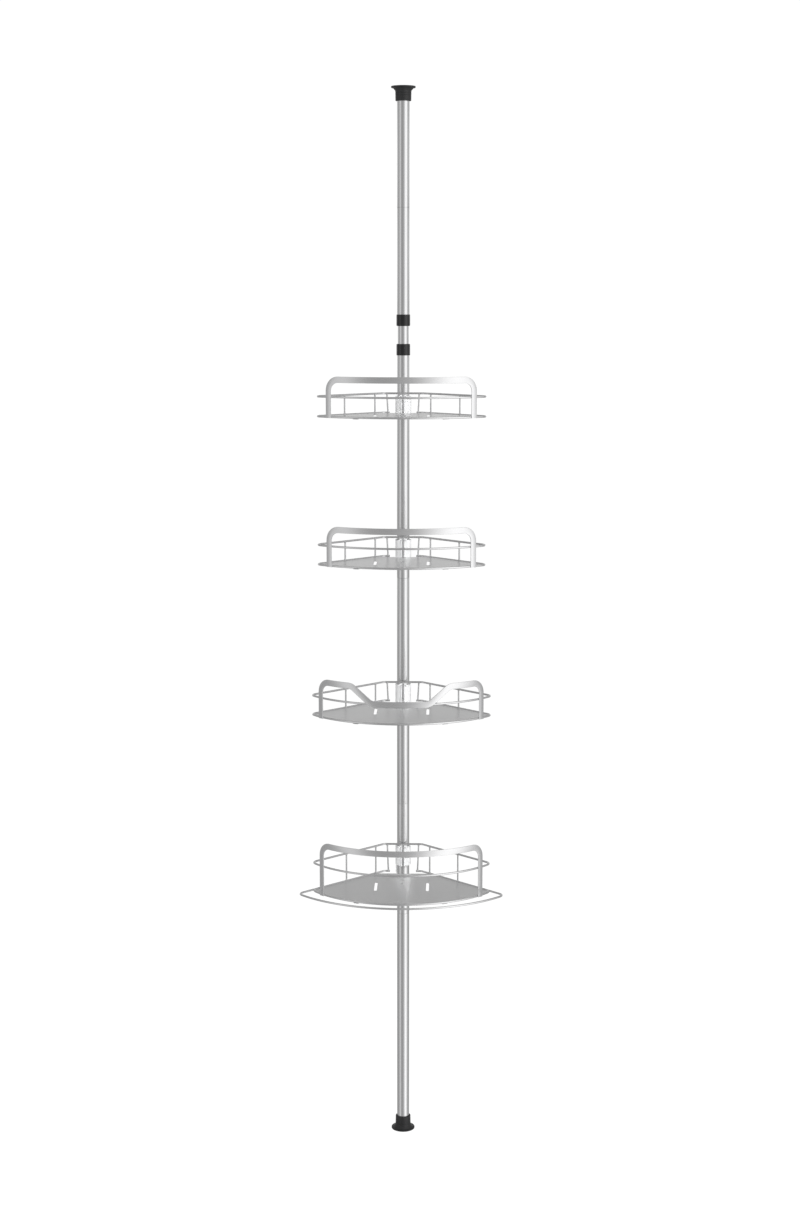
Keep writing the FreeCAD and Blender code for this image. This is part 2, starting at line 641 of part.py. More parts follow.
def clamp_liner(basket):
    """Split rubber sleeve that grips the pole inside the clamp."""
    top, sleeve_low, low = clamp_heights(basket)
    foot = sleeve_low + LINER_INSET
    height = top - LINER_INSET - foot
    sleeve = ring(LINER_R[1], LINER_R[0], foot, foot + height)
    return sleeve.cut(Part.makeBox(LINER_SLIT, 30, height + 2, vec(-LINER_SLIT / 2, 0, foot - 1)))


# ---------------------------------------------------------------- write every node
save("floor_pad", floor_pad())
save("lower_tube", tube(TUBE_R, PAD_FLOOR, SEAM_1))
save("short_tube", tube(TUBE_R, SEAM_1, SEAM_2))
save("middle_tube", tube(TUBE_R, SEAM_2, SEAM_3))
save("spring_tube", tube(TUBE_R, SEAM_3, SPRING_TUBE_TOP))
save("joint_sockets", [joint_socket(seam) for seam in (SEAM_1, SEAM_2, SEAM_3)])
save("joint_studs", [joint_stud(seam) for seam in (SEAM_1, SEAM_2, SEAM_3)])
save("guide_collar", guide_collar())
save("spring_seat", spring_seat())
save("tension_spring", tension_spring())
save("spring_plunger", spring_plunger())
save("inner_tube", tube(INNER_TUBE_R, INNER_TUBE_FOOT, INNER_TUBE_TOP))
save("lock_collet", lock_collet())
save("lock_collar", lock_collar())
save("upper_tube", tube(TUBE_R, UPPER_TUBE_FOOT, UPPER_SEAM))
save("upper_joint_socket", joint_socket(UPPER_SEAM))
save("upper_joint_stud", joint_stud(UPPER_SEAM))
save("top_tube", tube(TUBE_R, UPPER_SEAM, UPPER_TUBES_TOP))
save("ceiling_pad", ceiling_pad())

for number, basket in enumerate(BASKETS, start=1):
    save(f"basket_{number}_floor_wire", floor_hoop(basket))
    save(f"basket_{number}_rail_wire", ring_wire(basket["size"], basket["level"] + basket["rail"]))
    save(f"basket_{number}_rungs", basket_rungs(basket))
    save(f"basket_{number}_tray", basket_tray(basket))
    save(f"basket_{number}_front_band", front_band(basket))
    save(f"clamp_{number}_sleeve", clamp_sleeve(basket))
    save(f"clamp_{number}_door", clamp_door(basket))
    save(f"clamp_{number}_pin", clamp_pin(basket))
    save(f"clamp_{number}_liner", clamp_liner(basket))
save("basket_4_towel_ring", towel_ring(BASKETS[3]))

print(len(written), "nodes written")
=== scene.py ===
# %% [markdown]
# # A shower caddy on a spring-loaded pole
# The real object is a satin steel pole wedged between floor and ceiling. Four corner baskets of
# welded wire, brushed sheet and flat strip hang on it from milky plastic clamps.
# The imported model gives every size, place and joint. This lesson dresses it: each visible piece is
# a surface worked out with numpy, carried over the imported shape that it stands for.

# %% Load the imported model
import json
import math
import bmesh
import bpy
import numpy as np
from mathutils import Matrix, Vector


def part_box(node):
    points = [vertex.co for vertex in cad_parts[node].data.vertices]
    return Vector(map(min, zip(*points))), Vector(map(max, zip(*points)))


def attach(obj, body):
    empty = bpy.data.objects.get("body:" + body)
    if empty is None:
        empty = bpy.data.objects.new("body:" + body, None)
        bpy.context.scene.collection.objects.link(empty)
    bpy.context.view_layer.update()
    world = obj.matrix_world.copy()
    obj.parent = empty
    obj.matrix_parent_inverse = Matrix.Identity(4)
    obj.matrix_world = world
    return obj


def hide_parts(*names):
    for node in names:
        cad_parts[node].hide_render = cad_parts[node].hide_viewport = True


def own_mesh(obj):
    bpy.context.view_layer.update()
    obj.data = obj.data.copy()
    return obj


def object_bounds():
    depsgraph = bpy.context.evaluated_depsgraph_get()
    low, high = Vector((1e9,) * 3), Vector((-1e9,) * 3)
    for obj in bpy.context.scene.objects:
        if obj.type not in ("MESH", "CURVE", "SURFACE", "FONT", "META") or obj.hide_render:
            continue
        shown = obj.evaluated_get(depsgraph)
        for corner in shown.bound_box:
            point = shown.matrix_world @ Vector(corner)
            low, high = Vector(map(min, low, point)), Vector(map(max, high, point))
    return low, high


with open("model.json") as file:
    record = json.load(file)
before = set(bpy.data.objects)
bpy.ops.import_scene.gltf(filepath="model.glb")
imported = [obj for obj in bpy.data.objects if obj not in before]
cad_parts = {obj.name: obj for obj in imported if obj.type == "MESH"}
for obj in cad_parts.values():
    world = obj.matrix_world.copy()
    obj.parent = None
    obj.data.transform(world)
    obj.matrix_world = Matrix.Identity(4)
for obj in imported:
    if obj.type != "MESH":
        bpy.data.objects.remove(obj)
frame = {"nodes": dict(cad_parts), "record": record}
cad_low, cad_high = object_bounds()
MM = 0.001
print("packed nodes", len(frame["nodes"]), "height", round(cad_high.z, 4))

# %% [markdown]
# ## The camera
# A product picture of something two metres tall is taken from a few metres away with a short
# telephoto lens. The eye stands at adult height and looks down a little, so low trays show their
# floors and high trays are seen almost edge on. The swing round the pole is under two degrees.

# %% Set the camera
EYE_DISTANCE = 4.015
EYE_HEIGHT = 1.7179
EYE_ASIDE = -0.0065
EYE_SWING = math.radians(1.4)
EYE_PITCH = math.radians(8.70)
camera = bpy.data.objects.new("camera", bpy.data.cameras.new("camera"))
camera.data.lens = 59.6
camera.data.sensor_width = 36.0
camera.location = (EYE_ASIDE * math.cos(EYE_SWING) + EYE_DISTANCE * math.sin(EYE_SWING),
                   EYE_ASIDE * math.sin(EYE_SWING) - EYE_DISTANCE * math.cos(EYE_SWING), EYE_HEIGHT)
camera.rotation_euler = (math.pi / 2 - EYE_PITCH, 0, EYE_SWING)
bpy.context.collection.objects.link(camera)
bpy.context.scene.camera = camera
print("camera at", [round(c, 3) for c in camera.location])

# %% [markdown]
# ## Writing shader maths as expressions
# A Principled shader is fed by small sums: a grain here, a tint there. Building them by hand takes
# many lines, so one small class wraps a socket and gives it the usual operators. `1 - mask` then
# adds a Math node. Everything that is not a sum comes from one method that makes any node.

# %% Wrap sockets so that they add and multiply


class Field:
    """One output socket of a node tree. Operators add Math nodes; several fields share a tree."""

    def __init__(self, tree, socket):
        self.tree = tree
        self.socket = socket

    def feed(self, socket):
        self.tree.links.new(self.socket, socket)

    def _math(self, operation, *terms):
        node = self.tree.nodes.new("ShaderNodeMath")
        node.operation = operation
        for slot, term in zip(node.inputs, terms):
            put(slot, term)
        return Field(self.tree, node.outputs[0])

    def __add__(self, other):
        return self._math("ADD", self, other)

    def __sub__(self, other):
        return self._math("SUBTRACT", self, other)

    def __rsub__(self, other):
        return self._math("SUBTRACT", other, self)

    def __mul__(self, other):
        return self._math("MULTIPLY", self, other)

    def __truediv__(self, other):
        return self._math("DIVIDE", self, other)

    def __pow__(self, other):
        return self._math("POWER", self, other)

    def above(self, least):
        return self._math("MAXIMUM", self, least)

    def exp(self):
        return self._math("EXPONENT", self)

    __radd__ = __add__


def put(socket, term):
    """A field is linked to the socket; a plain value is set on it."""
    if isinstance(term, Field):
        term.feed(socket)
    else:
        socket.default_value = term


class Tree:
    """A node tree that makes any node from its type, its settings and its sockets' values."""

    def __init__(self, tree):
        self.tree = tree
        tree.nodes.clear()

    def node(self, kind, settings=(), values=(), out=0):
        made = self.tree.nodes.new(kind)
        for key, value in dict(settings).items():
            setattr(made, key, value)
        for key, value in dict(values).items():
            put(made.inputs[key], value)
        return Field(self.tree, made.outputs[out]) if made.outputs else made

    def mix(self, factor, a, b):
        """A blend of two colours."""
        return self.node("ShaderNodeMix", {"data_type": "RGBA"}, {0: factor, 6: a, 7: b}, 2)

    def noise(self, where, scale, detail=2.0):
        return self.node("ShaderNodeTexNoise", (), {"Vector": where, "Scale": scale, "Detail": detail})

    def stretched(self, where, scale):
        """Coordinates pulled out along some axes, which turns noise into grain."""
        return self.node("ShaderNodeMapping", (), {"Vector": where, "Scale": scale})


def material(name, sockets):
    """A material whose Principled shader takes its sockets from a function of the tree."""
    made = bpy.data.materials.new(name)
    made.use_nodes = True
    t = Tree(made.node_tree)
    shader = t.node("ShaderNodeBsdfPrincipled", (), sockets(t))
    t.node("ShaderNodeOutputMaterial", (), {"Surface": shader})
    return made


def tones(tone, drift):
    """A darker and a lighter colour, one drift either side of the tone."""
    return tuple(c * (1 - drift) for c in tone) + (1,), tuple(min(c * (1 + drift), 1) for c in tone) + (1,)


print("shader helpers ready")

# %% [markdown]
# ## Studio
# Soft light stands all round: a large bright panel at front right, a weaker one at left, a dim gap
# between them behind the lens, and a bright low wall at the back that the trays mirror. On satin
# metal those panels are what the eye reads as metal, so they are painted into the world as tall
# lobes of light. Their brightness follows the angle round the pole's axis, at any height.

# %% Light the studio
WHITE = (1.0, 1.0, 1.0, 1.0)
ROOM_LIGHT = 0.38
# Azimuth in degrees, power of the cosine, strength.
PANELS = {"right": (52, 7, 1.02), "left": (-57, 26, 0.45), "back": (180, 1, 0.06)}
WALL_HEIGHT = 0.05
WALL_SPREAD = 0.13
WALL_LIGHT = 0.70
NEVER_ZERO = 0.001
studio = bpy.data.worlds.new("studio")
bpy.context.scene.world = studio
studio.use_nodes = True
sky = Tree(studio.node_tree)
towards = sky.node("ShaderNodeTexCoord", out="Generated")
height = sky.node("ShaderNodeSeparateXYZ", (), {0: towards}, 2)
level_part = (1 + NEVER_ZERO - height * height) ** 0.5


def lobe(azimuth, power):
    """A tall panel: cosine to a power of the angle round the pole's axis, counted from the front."""
    aim = (math.sin(math.radians(azimuth)), -math.cos(math.radians(azimuth)), 0)
    dot = sky.node("ShaderNodeVectorMath", {"operation": "DOT_PRODUCT"}, {0: towards, 1: aim}, "Value")
    return (dot / level_part).above(0.0) ** power


low_wall = (((height - WALL_HEIGHT) / WALL_SPREAD) ** 2 * -1).exp() * lobe(180, 1.2)
light = low_wall * WALL_LIGHT + ROOM_LIGHT
for azimuth, power, strength in PANELS.values():
    light = light + lobe(azimuth, power) * strength
glow = sky.node("ShaderNodeBackground", (), {"Color": WHITE, "Strength": light})
sky.node("ShaderNodeOutputWorld", (), {"Surface": glow})
bpy.context.scene.view_settings.view_transform = "Standard"


def softbox(name, place, aim, size, power):
    """A square lamp turned to face a point. It lights plastic and rubber; the metal doesn't mirror it."""
    lamp = bpy.data.objects.new(name, bpy.data.lights.new(name, "AREA"))
    lamp.data.size = size
    lamp.data.energy = power
    lamp.location = place
    heading = np.subtract(aim, place)
    tilt = math.pi / 2 + math.atan2(heading[2], math.hypot(heading[0], heading[1]))
    lamp.rotation_euler = (tilt, 0, math.atan2(-heading[0], heading[1]))
    lamp.visible_glossy = False
    bpy.context.collection.objects.link(lamp)


MIDDLE = (0, 0, cad_high.z / 2)
softbox("key_lamp", (2.6, -3.0, 2.4), MIDDLE, 1.8, 150)
softbox("fill_lamp", (-2.8, -2.4, 1.6), MIDDLE, 2.0, 90)

# %% [markdown]
# ## Surfaces from numpy
# Wire, strip, tube and moulded shells are all the same idea: a section carried along a path, or a
# profile turned about an axis. Both are a grid of points, so one function turns a grid into quads,
# closes it where it loops, and keeps a UV map in metres so that grain can follow the metal.

# %% Turn grids of points into meshes


def quads(points, loop_u, loop_v, uv):
    """Corner indices and corner UVs of every cell of a grid; a looped side joins last to first. The sum
    of a * (b x c + c x d) over all cells a, b, c, d is positive where they face outwards, and where it
    isn't, they are turned over."""
    n, m = points.shape[:2]
    i, j = np.meshgrid(np.arange(n if loop_u else n - 1), np.arange(m if loop_v else m - 1), indexing="ij")
    cells = [(i, j), (i + 1, j), (i + 1, j + 1), (i, j + 1)]
    faces = np.stack([(a % n) * m + (b % m) for a, b in cells], -1).reshape(-1, 4)
    maps = np.stack([uv[a, b] for a, b in cells], -2).reshape(-1, 2)
    p = points.reshape(-1, 3)[faces]
    volume = np.einsum("ij,ij->", p[:, 0], np.cross(p[:, 1], p[:, 2]) + np.cross(p[:, 2], p[:, 3]))
    if volume < 0:
        faces = faces[:, ::-1]
        maps = maps.reshape(-1, 4, 2)[:, ::-1].reshape(-1, 2)
    return faces, maps


def patch(points, loop_u=False, loop_v=True, uv=None):
    """One closed surface: its points, whether each side loops, and its UVs in metres."""
    n, m = points.shape[:2]
    if uv is None:
        u = np.arange(n + 1)[:, None] * np.ones(m + 1)
        v = np.ones(n + 1)[:, None] * np.arange(m + 1)
        uv = np.stack([u, v], -1) * MM
    return points, loop_u, loop_v, uv


def piece(name, patches, finish, body, slot, *nodes):
    """Joins patches into one object, welds their poles, smooths them, and prints its name, face count and
    body.
    """
    points, faces, maps, start = [], [], [], 0
    for grid, loop_u, loop_v, uv in patches:
        f, w = quads(grid, loop_u, loop_v, uv)
        points.append(grid.reshape(-1, 3))
        faces.append(f + start)
        maps.append(w)
        start += grid.shape[0] * grid.shape[1]
    mesh = bpy.data.meshes.new(name)
    mesh.from_pydata(np.concatenate(points).tolist(), [], np.concatenate(faces).tolist())
    layer = mesh.uv_layers.new(name="along")
    layer.data.foreach_set("uv", np.concatenate(maps).ravel())
    work = bmesh.new()
    work.from_mesh(mesh)
    bmesh.ops.remove_doubles(work, verts=work.verts, dist=1e-6)
    work.to_mesh(mesh)
    work.free()
    mesh.polygons.foreach_set("use_smooth", np.ones(len(mesh.polygons), dtype=bool))
    mesh.set_sharp_from_angle(angle=math.radians(40))
    mesh.materials.append(finish)
    made = bpy.data.objects.new(name, mesh)
    bpy.context.collection.objects.link(made)
    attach(made, body)
    if nodes:
        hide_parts(*nodes)
    print(f"{name:26s} {len(mesh.polygons):6d} faces on {body}")
    return made


def softened(corners, radii, closed=False, arc=8):
    """A polyline whose corners are replaced by arcs tangent to both runs (radius 0 keeps the corner)."""
    corners = np.asarray(corners, float)
    last = len(corners)
    runs = []
    for i, r in enumerate(np.broadcast_to(radii, last)):
        p = corners[i]
        if r == 0 or (not closed and i in (0, last - 1)):
            runs.append(p[None])
            continue
        a = corners[i - 1] - p
        b = corners[(i + 1) % last] - p
        a /= np.linalg.norm(a)
        b /= np.linalg.norm(b)
        half = math.acos(np.clip(a @ b, -1, 1)) / 2
        centre = p + (a + b) / np.linalg.norm(a + b) * r / math.sin(half)
        t = np.linspace(-1, 1, arc + 1)[:, None] * (math.pi / 2 - half)
        middle = (p - centre) / np.linalg.norm(p - centre)
        side = np.array([-middle[1], middle[0]])
        side *= np.sign(side @ b)
        runs.append(centre + r * (np.cos(t) * middle + np.sin(t) * side))
    return np.concatenate(runs)


def evened(path, step, closed=False):
    """The same line with its points spread evenly, and the distance along it."""
    if closed:
        path = np.concatenate([path, path[:1]])
    s = np.concatenate([[0], np.cumsum(np.linalg.norm(np.diff(path, axis=0), axis=1))])
    count = max(int(round(s[-1] / step)), 4)
    t = np.linspace(0, s[-1], count + 1)
    line = np.stack([np.interp(t, s, path[:, k]) for k in range(path.shape[1])], -1)
    return (line[:-1], t) if closed else (line, t)


def round_section(radius, count=16):
    """Points of a circle."""
    a = np.arange(count) / count * 2 * math.pi
    return radius * np.stack([np.cos(a), np.sin(a)], -1)


def box_section(width, depth, corner):
    """Points of a rectangle with rounded corners, centred on zero."""
    w, d = width / 2, depth / 2
    return softened([(w, d), (-w, d), (-w, -d), (w, -d)], corner, True, 3)


def carried(path, first, second, section, along, closed=False, swell=None):
    """A section carried along a path: point + a * first + b * second, swollen by a factor on the way.
    An open end shrinks to a pole in one step, which makes a flat cap."""
    size = np.ones(len(path)) if swell is None else swell
    if not closed:
        path, first, second = (np.concatenate([x[:1], x, x[-1:]]) for x in (path, first, second))
        size = np.concatenate([[0], size, [0]])
        along = np.concatenate([along[:1], along, along[-1:]])
    section = np.asarray(section)
    a = section[:, 0][None, :, None]
    b = section[:, 1][None, :, None]
    grid = path[:, None] + size[:, None, None] * (a * first[:, None] + b * second[:, None])
    edge = np.linalg.norm(np.diff(section, axis=0, append=section[:1]), axis=1)
    across = np.concatenate([[0], np.cumsum(edge)])
    rows = len(path) + 1 if closed else len(path)
    u, v = np.meshgrid(along[:rows], across, indexing="ij")
    return patch(grid, closed, True, np.stack([u, v], -1))


def turned(profile, around=96, centre=(0, 0)):
    """A closed profile of (radius, height) points turned about a vertical axis: at angle a a point
    stands at centre + radius * (cos a, sin a)."""
    profile = np.asarray(profile)
    a = np.arange(around) / around * 2 * math.pi
    x = centre[0] + profile[:, 0][None] * np.cos(a)[:, None]
    y = centre[1] + profile[:, 0][None] * np.sin(a)[:, None]
    z = np.broadcast_to(profile[:, 1], x.shape)
    edge = np.linalg.norm(np.diff(profile, axis=0, append=profile[:1]), axis=1)
    across = np.concatenate([[0], np.cumsum(edge)])
    u, v = np.meshgrid(np.linspace(0, 2 * math.pi * profile[:, 0].max(), around + 1), across, indexing="ij")
    return patch(np.stack([x, y, z], -1), True, True, np.stack([u, v], -1))


def plan_axes(count):
    """The x and y axes for every point of an upright path."""
    return np.tile((1.0, 0.0, 0.0), (count, 1)), np.tile((0.0, 1.0, 0.0), (count, 1))


def middle_height(node):
    """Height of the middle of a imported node."""
    low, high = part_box(node)
    return (low.z + high.z) / 2


def bead(centre, sizes, turn=0.0):
    """A small ellipsoid of weld metal: (cos a, sin a cos b, sin a sin b) * sizes, turned about the
    vertical. Its first size lies along the strip."""
    a = np.linspace(0, math.pi, 8)[:, None]
    b = np.arange(12)[None] / 12 * 2 * math.pi
    ball = np.stack([np.cos(a) * np.ones_like(b), np.sin(a) * np.cos(b), np.sin(a) * np.sin(b)], -1) * sizes
    c, s = math.cos(turn), math.sin(turn)
    ball = ball @ np.array([[c, s, 0], [-s, c, 0], [0, 0, 1]])
    return patch(ball + np.asarray(centre))


print("surface helpers ready")

# %% [markdown]
# ## Satin and brushed steel
# Tube, wire, sheet and strip are all stainless or plated steel, but each was finished its own way.
# A tube is polished lengthwise, a sheet is brushed across, a strip is brushed along, and wire is
# drawn and tumbled. The grain is noise stretched along the brushing direction. It moves the
# roughness and a very shallow bump, and the tone drifts a few percent, as real plate does.

# %% Make the steels


def steel(name, tone, rough, grain, follow_surface=False, relief=0.05, drift=0.06):
    """Metal with a grain: tone is the mirror colour, grain the noise's scale on each axis of the object
    or, where it follows the surface, along and across it."""
    def sockets(t):
        where = t.node("ShaderNodeTexCoord", out="UV" if follow_surface else "Object")
        fine = t.noise(t.stretched(where, grain), 1.0, 3.0)
        broad = t.noise(t.stretched(where, tuple(g * 0.12 for g in grain)), 1.0, 2.0)
        cloud = t.noise(where, 14.0, 2.0)
        dark_tone, light_tone = tones(tone, drift)
        blend = fine * 0.45 + broad * 0.35 + cloud * 0.2
        roughness = rough + (broad - 0.5) * 0.08 + (fine - 0.5) * 0.04
        bump = t.node("ShaderNodeBump", (), {"Strength": relief, "Distance": 0.0001, "Height": fine})
        return {"Base Color": t.mix(blend, dark_tone, light_tone), "Metallic": 1.0,
                "Roughness": roughness, "Normal": bump}

    return material(name, sockets)


tube_steel = steel("tube_steel", (0.74, 0.74, 0.745), 0.22, (500, 500, 5), relief=0.008, drift=0.03)
wire_steel = steel("wire_steel", (0.74, 0.74, 0.745), 0.26, (40, 900, 40), True, relief=0.03)
strip_steel = steel("strip_steel", (0.76, 0.76, 0.765), 0.28, (25, 1800, 60), True, relief=0.06)
tray_steel = steel("tray_steel", (0.72, 0.72, 0.72), 0.30, (14, 1300, 1300), relief=0.07, drift=0.08)
weld_steel = steel("weld_steel", (0.55, 0.54, 0.53), 0.38, (500, 500, 500), relief=0.2)
spring_steel = steel("spring_steel", (0.56, 0.56, 0.58), 0.28, (600, 600, 600), relief=0.1)
print("steels:", [m.name for m in bpy.data.materials if m.name.endswith("_steel")])

# %% [markdown]
# ## Plastics and rubber
# The collars are glossy black mouldings, the two pads are matte black rubber, and the clamps are
# milky polypropylene that lets some light through. Moulded parts carry the spark-eroded texture of
# their mould: a fine noise in the bump. Only the tint and the roughness drift over the surface.

# %% Make the mouldings


def moulding(name, tone, rough, grain, relief, drift=0.25, coat=0.0, alpha=1.0):
    """Plastic or rubber: tone drifts a little, grain is the scale of the mould's texture, and a milky
    plastic has an alpha below one."""
    def sockets(t):
        where = t.node("ShaderNodeTexCoord", out="Object")
        fine = t.noise(where, grain, 2.0)
        cloud = t.noise(where, 60.0, 2.0)
        bump = t.node("ShaderNodeBump", (), {"Strength": relief, "Distance": 0.0002, "Height": fine})
        return {"Base Color": t.mix(cloud, *tones(tone, drift)), "Roughness": rough + (cloud - 0.5) * 0.12,
                "Coat Weight": coat, "Coat Roughness": 0.12, "Alpha": alpha, "Normal": bump}

    return material(name, sockets)


black_plastic = moulding("black_plastic", (0.0035, 0.0035, 0.004), 0.2, 2500, 0.04, coat=0.12)
black_rubber = moulding("black_rubber", (0.008, 0.008, 0.0085), 0.5, 1600, 0.3)
milky_plastic = moulding("milky_plastic", (0.86, 0.865, 0.87), 0.34, 1400, 0.05, drift=0.03, alpha=0.86)
grip_rubber = moulding("grip_rubber", (0.62, 0.63, 0.64), 0.6, 1200, 0.2, drift=0.05)
insert_plastic = moulding("insert_plastic", (0.10, 0.10, 0.10), 0.45, 1500, 0.15)
print("mouldings:", black_plastic.name, black_rubber.name, milky_plastic.name)

# %% [markdown]
# ## The tubes
# Every section is thin steel tube with its rims rolled in slightly where it was cut. Two rolled rims
# meeting are what shows as a fine dark line at each screwed joint. The tube is a closed profile,
# outside, rim, bore and rim again, turned about the pole's axis.

# %% Turn the pole's sections
TUBE_WALL = 0.8 * MM
RIM_ROLL = 0.55 * MM
TUBES = {"lower_tube": "pole", "short_tube": "pole", "middle_tube": "pole", "spring_tube": "pole",
         "inner_tube": "plunger", "upper_tube": "upper_pole", "top_tube": "upper_pole"}


def tube_profile(radius, low, high):
    """Outside, two rolled rims and the bore."""
    bore = radius - TUBE_WALL
    corners = [(radius, low), (radius, high), (bore, high), (bore, low)]
    return softened(corners, (RIM_ROLL, RIM_ROLL, 0.1 * MM, 0.1 * MM), True, 4)


for name, body in TUBES.items():
    low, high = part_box(name)
    skin = turned(tube_profile(high.x, low.z, high.z))
    piece(name + "_skin", [skin], tube_steel, body, "tube_steel", name)

# %% [markdown]
# ## The spring
# The compression spring inside the pole is round wire on a helix. It stands on its seat and the inner tube
# presses on it. It is wound once, to the length of its packed box.

# %% Wind the spring
SPRING_WIRE = 1.0 * MM
SPRING_TURNS = 13
SPRING_END = 1.3 * SPRING_WIRE
low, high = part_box("tension_spring")
wound = np.linspace(0, 2 * math.pi * SPRING_TURNS, SPRING_TURNS * 32 + 1)
coil_r = high.x - SPRING_WIRE
climb = (high.z - low.z - 2 * SPRING_END) / wound[-1]
outwards = np.stack([np.cos(wound), np.sin(wound), 0 * wound], -1)
path = coil_r * outwards + (0, 0, low.z + SPRING_END) + wound[:, None] * (0, 0, climb)
onwards = np.stack([-coil_r * np.sin(wound), coil_r * np.cos(wound), climb + 0 * wound], -1)
onwards /= np.linalg.norm(onwards, axis=1)[:, None]
helix = carried(path, outwards, np.cross(onwards, outwards), round_section(SPRING_WIRE, 12),
                wound * math.hypot(coil_r, climb))
coil = piece("tension_spring_coil", [helix], spring_steel, "pole", "spring_steel", "tension_spring")
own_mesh(coil)

# %% [markdown]
# ## The collars
# The lower collar caps the spring section and guides the inner tube. The upper one twists to lock
# the height, so it has a lip at its foot. Both are short black mouldings with one rounded rim and
# a small step at the other, where the mould closed.

# %% Turn the collars
TUBE_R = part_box("lower_tube")[1].x
COLLAR_LIP = 1.6 * MM
COLLAR_LIP_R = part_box("inner_tube")[1].x + 0.1 * MM


def collar_profile(node, round_at_top):
    """A cup with a lip: straight skirt, rounded shoulder, small step at the open rim."""
    low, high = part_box(node)
    r = high.x
    inner = TUBE_R + 0.06 * MM
    step_r = r - 0.15 * MM
    corners = [(inner, low.z), (step_r, low.z), (step_r, low.z + 1.1 * MM), (r, low.z + 1.5 * MM),
               (r, high.z), (COLLAR_LIP_R, high.z), (COLLAR_LIP_R, high.z - COLLAR_LIP),
               (inner, high.z - COLLAR_LIP)]
    radii = np.array([0.15, 0.4, 0.2, 0.2, 2.0, 0.3, 0.1, 0.1]) * MM
    profile = softened(corners, radii, True, 5)
    if not round_at_top:
        profile[:, 1] = low.z + high.z - profile[:, 1]
    return profile


piece("guide_collar_skin", [turned(collar_profile("guide_collar", True))],
      black_plastic, "pole", "black_plastic", "guide_collar")
piece("lock_collar_skin", [turned(collar_profile("lock_collar", False))],
      black_plastic, "lock_ring", "black_plastic", "lock_collar")

# %% [markdown]
# ## The pads
# The pads are soft black rubber: a thin flange with a shallow hollow under it, a flare, and a neck
# that grips the tube, with two shallow rings where a thumb would push.

# %% Turn the rubber pads
PAD_FLOOR = 3.0 * MM
PAD_NECK_R = 15.75 * MM
PAD_FLANGE = 3.2 * MM
PAD_HOLLOW = 0.35 * MM


def pad_profile(flip):
    """Flange, flare, ringed neck and socket, as heights from the face that presses the room."""
    low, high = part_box("floor_pad")
    tall = high.z - low.z
    flange = high.x
    neck = PAD_NECK_R
    socket = TUBE_R + 0.05 * MM
    corners = [(0, PAD_HOLLOW), (flange - 4 * MM, PAD_HOLLOW), (flange - 3 * MM, 0), (flange, 0),
               (flange, PAD_FLANGE), (neck + 5 * MM, PAD_FLANGE), (neck + 0.2 * MM, 8.5 * MM),
               (neck, 12 * MM), (neck - 0.5 * MM, 12.5 * MM), (neck, 13 * MM), (neck - 0.1 * MM, 17 * MM),
               (neck - 0.6 * MM, 17.5 * MM), (neck - 0.15 * MM, 18 * MM),
               (neck - 0.35 * MM, tall), (socket, tall), (socket, PAD_FLOOR), (0, PAD_FLOOR)]
    radii = np.array([0, 0.3, 0.3, 0.8, 0.8, 3.5, 2.0, 0.3, 0.3, 0.3, 0.3, 0.3, 0.3, 1.1, 0.3, 0.1, 0]) * MM
    profile = softened(corners, radii, True, 5)
    if flip:
        profile[:, 1] = cad_high.z - profile[:, 1]
    return profile


piece("floor_pad_skin", [turned(pad_profile(False))], black_rubber, "pole", "rubber", "floor_pad")
piece("ceiling_pad_skin", [turned(pad_profile(True))], black_rubber, "upper_pole", "rubber", "ceiling_pad")

# %% [markdown]
# ## The wire rings
# Each basket has two 4 mm wires bent to the same outline: a short straight back, two sides at 45
# degrees, rounded tips, and one front arc. The arc's radius isn't chosen: it is the only one that
# meets the tip arcs smoothly at the given width and reach. The rail is a closed ring, with a faint
# swelling on one side where its ends were butt welded. The tray's wire is a hoop that stops just
# round its back corners, so that the clamp has room. The wire is a circle carried along the outline.

# %% Work out a ring's outline
WIRE_R = 2.0 * MM
BACK_Y = -18.0 * MM
BACK_HALF = 38.6 * MM
BACK_CORNER = 6.0 * MM
TIP_R = {1: 16.0 * MM, 2: 16.0 * MM, 3: 15.0 * MM, 4: 15.0 * MM, "towel": 13.6 * MM}
WIRE_STEP = 4.0 * MM
HOOP_END = 26.5 * MM
BASKETS = (1, 2, 3, 4)


def arc_points(centre, radius, start, end, step=2.5):
    """Points on a circle from one angle to another, in degrees, every few degrees."""
    count = max(int(abs(end - start) / step), 3)
    a = np.radians(np.linspace(start, end, count + 1))[:, None]
    return np.asarray(centre) + radius * np.concatenate([np.cos(a), np.sin(a)], 1)


def outline(half_width, reach, tip_r):
    """Key numbers of the outline: tip centre, front radius, the front circle's centre and tip angle. The
    front circle has radius f and centre (0, f - reach), and holds the tip circle inside it, touching."""
    cx = half_width - tip_r
    cy = BACK_Y - (cx - BACK_HALF) - math.sqrt(2) * tip_r
    k = cy + reach
    front = (cx * cx + k * k - tip_r * tip_r) / (2 * (k - tip_r))
    centre_y = front - reach
    return cx, cy, front, centre_y, math.degrees(math.atan2(cy - centre_y, cx))


def ring_sizes(node, tip_r):
    """The outline's numbers for a packed ring, from its box without the wire's thickness."""
    low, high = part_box(node)
    return outline(high.x - WIRE_R, -low.y - WIRE_R, tip_r)


def right_bow(cx, cy, front, centre_y, tip_angle, tip_r):
    """Tip arc and front arc down to the middle, on the right."""
    tip = arc_points((cx, cy), tip_r, 45, tip_angle)
    return np.concatenate([tip, arc_points((0, centre_y), front, tip_angle, -90, 1.2)])


